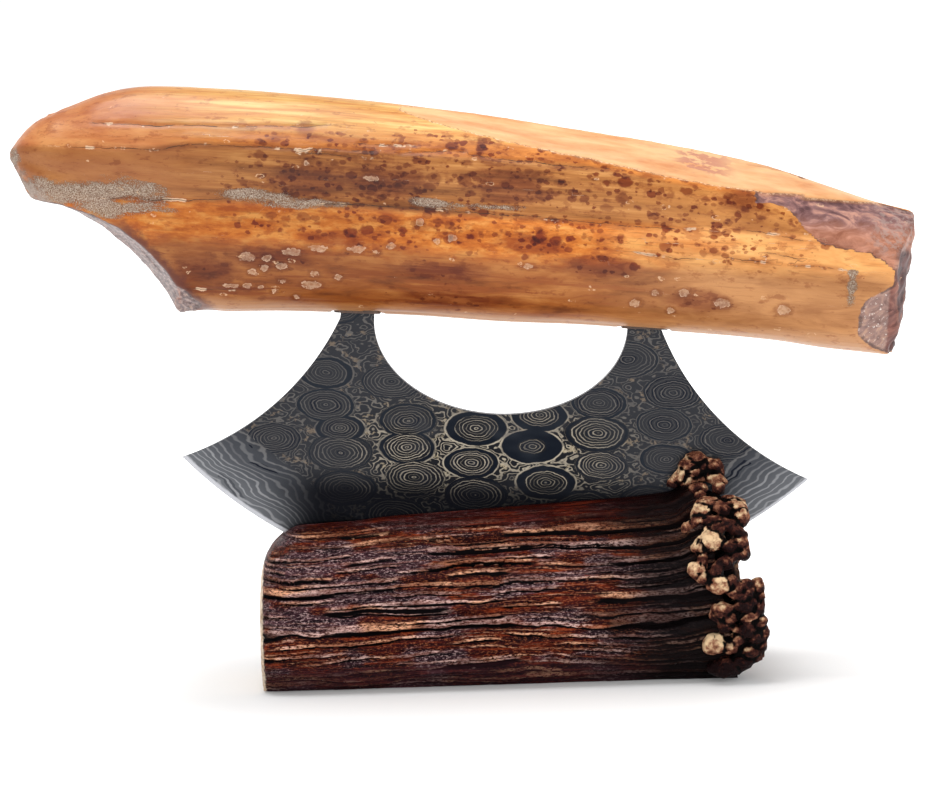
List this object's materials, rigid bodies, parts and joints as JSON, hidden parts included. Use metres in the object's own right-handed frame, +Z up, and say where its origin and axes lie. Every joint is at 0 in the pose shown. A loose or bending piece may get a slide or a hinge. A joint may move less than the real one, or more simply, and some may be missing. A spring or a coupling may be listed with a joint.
{
  "type": "ulu knife",
  "caption": "Round-edged kitchen knife with a finger gap and an old-ivory handle, standing upright in the kerf of a holder cut from an antler.",
  "frame": {"origin": "on the ground base of the antler holder, in the plane of the blade, 52.7 mm from the holder's sawn end", "axes": "+X from the handle's pointed end to its broken end, along the kerf; +Y away from the front, through the blade's plate; +Z up"},
  "size_m": [0.2198, 0.0578, 0.1471],
  "materials": {
    "stained_antler": "satin",
    "pattern_welded_steel": "satin",
    "fossil_ivory": "gloss",
    "tang_epoxy": "satin"
  },
  "bodies": {
    "stand": {"antler_stand": "stained_antler"},
    "knife": {"blade": "pattern_welded_steel", "handle": "fossil_ivory", "left_tang_epoxy": "tang_epoxy", "right_tang_epoxy": "tang_epoxy"}
  },
  "joints": [
    {"name": "knife_lift", "type": "slide", "parent": "stand", "child": "knife", "axis": [0, 0, 1], "range_m": [0, 0.06]}
  ]
}
